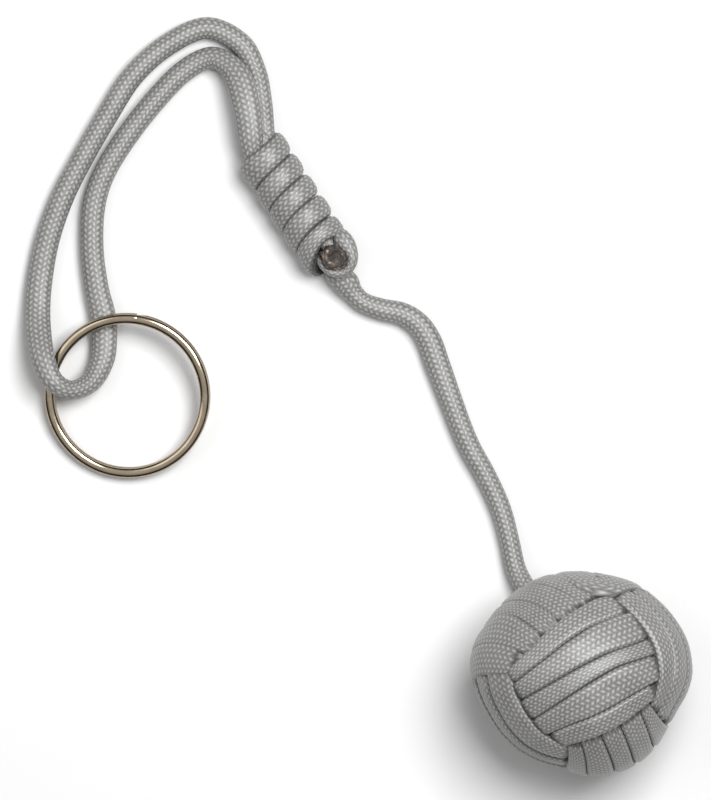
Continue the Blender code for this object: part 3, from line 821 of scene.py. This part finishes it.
# Each set of turns lies in the plane of its face and travel axes, the first two of its axes, and is
# spread along the third, its side axis. Its power is how square its strand's section is, and its gap
# is what is left beside the strand, in millimetres. Its ease is how far inside the edge of the set
# above it the strand is right down, and its climb is the most that the way up takes, in degrees.
# It winds round so many turns from its start angle. Its edges are, at each angle round from its face,
# the tilts in degrees of the lines between its passes, from the lowest pass's outer edge to the
# highest's. Falling says that the passes start from the highest.
FIST_SETS = {
    "first": {
        "axes": (2, 0, 1),
        "power": 4.2,
        "gap": 0.03,
        "ease": 8.5,
        "climb": 13.0,
        "turns": 5,
        "start": 90,
        "falling": True,
        "edges": {
            -38: (-33, -19.5, -6.6, 6.6, 16.9, 25),
            0: (-38, -24.5, -5.4, 5.6, 22, 35.7),
            20: (-37.3, -25.5, -5.8, 3.8, 22.7, 37),
            38: (-35.5, -25, -10, -0.7, 19, 36),
            90: (-29, -18, -7, 4, 15, 26),
            140: (-28, -16.6, -5.2, 6.2, 17.6, 29),
            180: (-28, -15.7, -3.4, 8.9, 21.2, 33.5),
            220: (-26, -14.6, -3.2, 8.2, 19.6, 31),
            270: (-28, -17, -6, 5, 16, 27),
        },
    },
    "second": {
        "axes": (0, 1, 2),
        "power": 3.4,
        "gap": 0.1,
        "ease": 9.0,
        "climb": 13.0,
        "turns": 6,
        "start": 90,
        "falling": False,
        "edges": {
            -50: (-33, -20.5, -8, 4.5, 18, 32.5, 41.5),
            -38: (-35, -22, -9, 4.5, 18, 32.5, 43),
            -20: (-38, -25, -12, 1.5, 15.5, 30, 43.3),
            8: (-38, -25.5, -13, -0.5, 12.5, 26, 41.3),
            20: (-37, -25, -13.5, -2, 10, 22.5, 39.5),
            38: (-33, -22.5, -12.5, -2.5, 8, 19, 34),
            90: (-33, -22, -11, 0, 11, 22, 33),
            146: (-34, -22, -10, 2, 14, 28, 49),
            160: (-36, -23.5, -11, 1, 13, 27, 47.5),
            180: (-38, -25.5, -13, -1, 11, 26, 47.5),
            203: (-38, -26, -14, -2, 9.5, 23.5, 44.5),
            227: (-33, -22, -11, 0, 11, 24.5, 40.5),
            270: (-33, -22, -11, 0, 11, 22, 33),
        },
    },
    "third": {
        "axes": (1, 2, 0),
        "power": 4.4,
        "gap": 0.02,
        "ease": 10.0,
        "climb": 12.5,
        "turns": 5,
        "start": 270,
        "falling": False,
        "edges": {
            0: (-64, -49, -35.5, -19.7, -3, 15),
            15: (-60, -42.5, -24.4, -11, 5.7, 23),
            30: (-54, -35.8, -14.5, -3, 13.2, 29),
            45: (-47, -27.5, -10.4, 3.1, 21, 36),
            60: (-35.5, -19.8, -5.7, 8, 24.5, 40),
            90: (-27.5, -16.5, -5.5, 5.5, 16.5, 27.5),
            125: (-30.2, -21, -8.7, 3.7, 18.5, 25),
            165: (-41, -28.3, -12.4, -0.8, 12.9, 27),
            195: (-40, -26, -12, 1.5, 15, 30),
            225: (-31, -19, -7, 5, 17, 30),
            270: (-27.5, -16.5, -5.5, 5.5, 16.5, 27.5),
            315: (-38, -25, -12, 1, 14, 27),
        },
    },
}
# The set that lies on each set, and the one that it lies on.
OVER = {"first": "second", "second": "third", "third": "first"}
UNDER = {"first": "third", "second": "first", "third": "second"}
# How far outside the set below it a strand is still right up, in degrees.
UNDER_EASE = 1.0
# How much of its thickness a strand loses halfway down, where all three sets pass each other.
SQUEEZE = 0.3
# The share of its way down at which a strand's painted shade, under the set above, is full all over.
FULL_SHADE_FROM = 0.012

# How far out the fist stands, in millimetres, at angles round its upper face from its own X axis.
FIST_OUTLINE = (
    (0, 19.8),
    (13, 19.4),
    (28, 19.2),
    (39, 18.6),
    (47, 18.7),
    (56, 18.5),
    (80, 19),
    (108, 19.2),
    (121.5, 19.5),
    (133, 20.2),
    (144, 20.1),
    (171.5, 18.4),
    (201.6, 17.7),
    (226, 17.1),
    (248, 18.9),
    (273, 19.1),
    (287, 18.8),
    (294, 18.4),
    (308, 18.5),
    (317, 19.4),
    (328, 20.2),
    (345, 20.3),
    (360, 19.8),
)
# The even ball that the turns are wound as, and how far up and down the fist goes, in millimetres.
FIST_IDEAL_RADIUS = 19.4
FIST_TOP_RADIUS = 18.2
FIST_FOOT_RADIUS = 19.3


def edge_rows(turn_set):
    """The set's angles, in order round one turn, and its edges there, in degrees."""
    edges = sorted(turn_set["edges"].items(), key=lambda row: row[0] % 360)
    angles = np.array([angle % 360 for angle, _ in edges], float)
    tilts = np.array([tilt for _, tilt in edges], float)
    return angles, tilts


def edge_at(turn_set, angles, index):
    """The tilt of one of a set's lines at any angles round it, in degrees."""
    known, tilts = edge_rows(turn_set)
    return np.interp(angles % 360, known, tilts[:, index], period=360)


def outside(turn_set, places):
    """How far places lie outside a set's band, in degrees. Below 0 they are within it."""
    face, travel, side = turn_set["axes"]
    length = np.linalg.norm(places, axis=1)
    tilt = np.degrees(np.arcsin(places[:, side] / length))
    angle = np.degrees(np.arctan2(places[:, travel], places[:, face]))
    return np.maximum(tilt - edge_at(turn_set, angle, -1), edge_at(turn_set, angle, 0) - tilt)


def strand_tilts(turn_set, angles):
    """The tilts of the strand's two edges, along the set's whole way, in degrees."""
    known, tilts = edge_rows(turn_set)
    keys, low, high = [], [], []
    turns = turn_set["turns"]
    for turn in range(turns + 2):
        for angle, row in zip(known, tilts):
            at = angle + 360 * turn
            passes = min(max((at - turn_set["start"]) // 360, 0), turns - 1)
            index = int(turns - 1 - passes if turn_set["falling"] else passes)
            keys.append(at)
            low.append(row[index])
            high.append(row[index + 1])
    keys = np.array(keys)
    order = np.argsort(keys, kind="stable")
    # The lines are smoothed over 11 degrees to each side, so they run on past both ends at first.
    fine = np.arange(angles[0] - 30, angles[-1] + 30, 1.0)
    kernel = np.hanning(23) / np.hanning(23).sum()
    found = []
    for values in (low, high):
        line = np.interp(fine, keys[order], np.array(values)[order])
        found.append(np.interp(angles, fine, np.convolve(line, kernel, "same")))
    return found


def fist_shape(places):
    """Moves places from the even ball to the fist's own shape, then to where the fist lies."""
    length = np.linalg.norm(places, axis=1)
    unit = places / length[:, None]
    turn = np.degrees(np.arctan2(unit[:, 1], unit[:, 0])) % 360
    angles, reaches = np.array(FIST_OUTLINE).T
    # The outline is smoothed over 7 degrees to each side, and is a closed line.
    fine = np.arange(0, 360.0)
    line = np.interp(fine, angles, reaches)
    kernel = np.hanning(15) / np.hanning(15).sum()
    line = np.convolve(np.concatenate((line[-7:], line, line[:7])), kernel, "valid")
    outline = np.interp(turn, fine, line, period=360)
    # It holds for the sides, and gives way to the radius of the top and of the foot.
    rise = unit[:, 2]
    pole = np.where(rise > 0, FIST_TOP_RADIUS, FIST_FOOT_RADIUS)
    share = np.abs(rise) ** 3
    reach = outline * (1 - share) + pole * share
    grown = places * (reach / FIST_IDEAL_RADIUS)[:, None]
    axes = np.array(FIST_AXES)
    return grown @ axes.T + np.array(FIST_CENTRE)


# The last turn arches over the fist's upper right corner. Each row has the angle round from the fist's
# X axis and the height over its middle, in degrees, then how far out the strand's middle is and its
# half width and half height, in millimetres.
CROSSING = (
    (60, -44, 15.6, 2.4, 1.2),
    (62, -30, 17.1, 3, 1.4),
    (63, -14, 17.7, 3.3, 1.5),
    (62, 1, 17.8, 3.5, 1.6),
    (58.5, 14, 17.9, 3.7, 1.6),
    (52, 24, 18.2, 3.8, 1.6),
    (44.5, 26, 18.4, 3.7, 1.6),
    (38.5, 18, 18.3, 3.5, 1.6),
    (33, 7.5, 18, 3.2, 1.5),
    (28, -3, 17.8, 2.8, 1.4),
    (22.5, -14, 17.4, 2.4, 1.3),
    (19, -26, 16.2, 2.1, 1.2),
)
# Over how many degrees the second set dips under that turn, and the share of them inside its edge.
CROSSING_DIP = 8
CROSSING_DIP_INSIDE = 0.85


def crossing_strand():
    """The crossing turn's rows with its outward directions, round a ball at the origin."""
    turn, height, reach, half_width, half_height = np.array(CROSSING).T
    turn, height = np.radians(turn), np.radians(height)
    outward = np.array((np.cos(turn) * np.cos(height), np.sin(turn) * np.cos(height), np.sin(height))).T
    sizes = np.column_stack((reach[:, None] * outward, half_width, half_height)) * MM
    return even_rows(smooth_rows(np.column_stack((sizes, outward))))


def beside_crossing(outward):
    """How far directions lie outside that turn's edge, in degrees. Below 0 they are under it."""
    rows = crossing_strand()
    reach = np.linalg.norm(rows[:, :3], axis=1)
    nearness = outward @ (rows[:, :3] / reach[:, None]).T
    apart = np.degrees(np.arccos(np.clip(nearness.max(axis=1), -1, 1)))
    return apart - np.degrees(rows[:, 3] / reach)[nearness.argmax(axis=1)]


def fist_strand(key):
    """One set's rows round a ball at the origin, with their outward directions and the painted shade
    of each row where it is under the set above."""
    sizes = bpy.context.scene.keychain_fist
    turn_set = FIST_SETS[key]
    face, travel, side = turn_set["axes"]
    step = 0.5
    angles = turn_set["start"] + np.arange(0, 360 * turn_set["turns"] + step, step)
    low, high = strand_tilts(turn_set, angles)
    tilt, half = np.radians((low + high) / 2), np.radians((high - low) / 2)
    outward = np.zeros((len(angles), 3))
    outward[:, face] = np.cos(np.radians(angles)) * np.cos(tilt)
    outward[:, travel] = np.sin(np.radians(angles)) * np.cos(tilt)
    outward[:, side] = np.sin(tilt)
    # The strand's way up goes from 0, right under the set above, to 1, on the set below.
    off_over = np.maximum(outside(FIST_SETS[OVER[key]], outward) + turn_set["ease"], 0)
    off_under = np.maximum(outside(FIST_SETS[UNDER[key]], outward) + UNDER_EASE, 0)
    t = np.minimum(off_over / np.clip(off_under + off_over, 1e-6, turn_set["climb"]), 1)
    if key == "second":
        beside = beside_crossing(outward) / CROSSING_DIP + CROSSING_DIP_INSIDE
        t = np.minimum(t, np.clip(beside, 0, 1))
    share = t * t * (3 - 2 * t)
    radius = sizes.low_radius + sizes.rise * share
    # Two passes meet at the widest part of their outer halves.
    width = (radius + sizes.thickness / 4) * half - turn_set["gap"] * MM
    thickness = sizes.thickness / 2 * (1 - SQUEEZE * 4 * share * (1 - share))
    middle = outward * radius[:, None]
    # Painted shade where the strand dives under the set above it.
    under = np.clip((1 - share) / FULL_SHADE_FROM, 0, 1)
    return even_rows(np.column_stack((middle, width, thickness, outward, under)))


class KEYCHAIN_OT_fist(bpy.types.Operator):
    """Adds the three sets of turns of the fist, and finishes the ball inside"""

    bl_idname = "keychain.fist"
    bl_label = "Fist"

    def execute(self, context):
        columns = fist_columns()
        for key, turn_set in FIST_SETS.items():
            rows = fist_strand(key)
            name, power = f"{key}_turns_braid", turn_set["power"]
            strand, ups, under = rows[:, :5], rows[:, 5:8], rows[:, 8]
            piece = braided_strand(
                name, strand, ups, columns, power=power, shape=fist_shape, under=under
            )
            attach(piece, "fist")
            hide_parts(f"{key}_turns")
        rows = crossing_strand()
        strand, ups = rounded_ends(rows[:, :5]), rows[:, 5:]
        # The crossing dives under nothing, so its painted shade lies only down its sides.
        under = np.zeros(len(rows))
        piece = braided_strand(
            "crossing_braid", strand, ups, columns, power=3.2, shape=fist_shape, under=under
        )
        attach(piece, "fist")
        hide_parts("third_turns")
        ball = frame["nodes"]["core_ball"].data
        ball.materials.clear()
        ball.materials.append(finish_of(polished_steel))
        return {"FINISHED"}


class KEYCHAIN_OT_ring(bpy.types.Operator):
    """Adds the split ring, one wire wound twice round"""

    bl_idname = "keychain.ring"
    bl_label = "Split ring"

    def execute(self, context):
        sizes = context.scene.keychain_ring
        radius = (sizes.outer_diameter - sizes.wire_width) / 2
        between = 0.06 * MM
        climb = sizes.wire_height + between
        bm = bmesh.new()
        bmesh.ops.create_circle(bm, cap_ends=True, segments=28, radius=1.0)
        for vert in bm.verts:
            turn = np.arctan2(vert.co.y, vert.co.x)
            x, y = rounded_box(turn, 2.2)
            vert.co = (radius + x * sizes.wire_width / 2, 0, y * sizes.wire_height / 2 - climb / 2)
        end = bm.faces[:][0]
        geometry = [end, *end.edges, *end.verts]
        # The wire goes once round, up over the jog, and round again but for the gap at its end, in
        # steps of an angle in degrees and a rise.
        jog, end_gap = 8, 0.5
        round_steps, jog_steps = 120, 8
        rises = [(0.5 - 0.5 * cos(pi * i / jog_steps)) * climb for i in range(jog_steps + 1)]
        steps = [((360 - jog) / round_steps, 0.0)] * round_steps
        steps += [(jog / jog_steps, high - low) for low, high in zip(rises, rises[1:])]
        steps += [((360 - end_gap) / round_steps, 0.0)] * round_steps
        for angle, rise in steps:
            spun = bmesh.ops.spin(
                bm,
                geom=geometry,
                cent=(0, 0, 0),
                axis=(0, 0, 1),
                dvec=(0, 0, rise),
                angle=radians(angle),
                steps=1,
                use_merge=False,
            )
            geometry = spun["geom_last"]
        # The ring leans as its joint does, with the wire's ends at the top of the photograph.
        joint = JOINTS["ring_spin"]
        lean = UP.rotation_difference(Vector(joint["axis"])).to_matrix().to_4x4()
        ends_at = Matrix.Rotation(radians(83), 4, "Z")
        place = Matrix.Translation(joint["pos_m"]) @ lean @ ends_at
        bmesh.ops.transform(bm, matrix=place, verts=bm.verts)
        bmesh.ops.recalc_face_normals(bm, faces=bm.faces)
        mesh = mesh_of("ring_wire", bm)
        # Only the rims of the wire's cut ends are sharp.
        mesh.shade_smooth()
        mesh.set_sharp_from_angle(angle=radians(50))
        piece = add_piece("ring_wire", mesh, finish_of(nickel_plated_wire))
        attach(piece, "ring")
        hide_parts("split_ring")
        return {"FINISHED"}


OPERATORS = (
    KEYCHAIN_OT_stage,
    KEYCHAIN_OT_loop,
    KEYCHAIN_OT_link,
    KEYCHAIN_OT_coil,
    KEYCHAIN_OT_cut_end,
    KEYCHAIN_OT_eye,
    KEYCHAIN_OT_fist,
    KEYCHAIN_OT_ring,
)
SIZES = {
    "keychain_cord": CordSizes,
    "keychain_coil": CoilSizes,
    "keychain_fist": FistSizes,
    "keychain_ring": RingSizes,
    "keychain_stage": StageSizes,
}


class KEYCHAIN_PT_pieces(bpy.types.Panel):
    """Lists the keychain's pieces and their sizes"""

    bl_idname = "KEYCHAIN_PT_pieces"
    bl_label = "Monkey Fist Keychain"
    bl_space_type = "VIEW_3D"
    bl_region_type = "UI"
    bl_category = "Keychain"

    def draw(self, context):
        for operator in OPERATORS:
            self.layout.operator(operator.bl_idname)
        for name, group in SIZES.items():
            box = self.layout.box()
            for prop in group.__annotations__:
                box.prop(getattr(context.scene, name), prop)


def register():
    for group in SIZES.values():
        bpy.utils.register_class(group)
    for operator in OPERATORS:
        bpy.utils.register_class(operator)
    bpy.utils.register_class(KEYCHAIN_PT_pieces)
    for name, group in SIZES.items():
        setattr(bpy.types.Scene, name, PointerProperty(type=group))


def unregister():
    for name in SIZES:
        delattr(bpy.types.Scene, name)
    bpy.utils.unregister_class(KEYCHAIN_PT_pieces)
    for operator in reversed(OPERATORS):
        bpy.utils.unregister_class(operator)
    for group in reversed(SIZES.values()):
        bpy.utils.unregister_class(group)


def main():
    register()
    for operator in OPERATORS:
        group, name = operator.bl_idname.split(".")
        getattr(getattr(bpy.ops, group), name)()


if __name__ == "__main__":
    main()
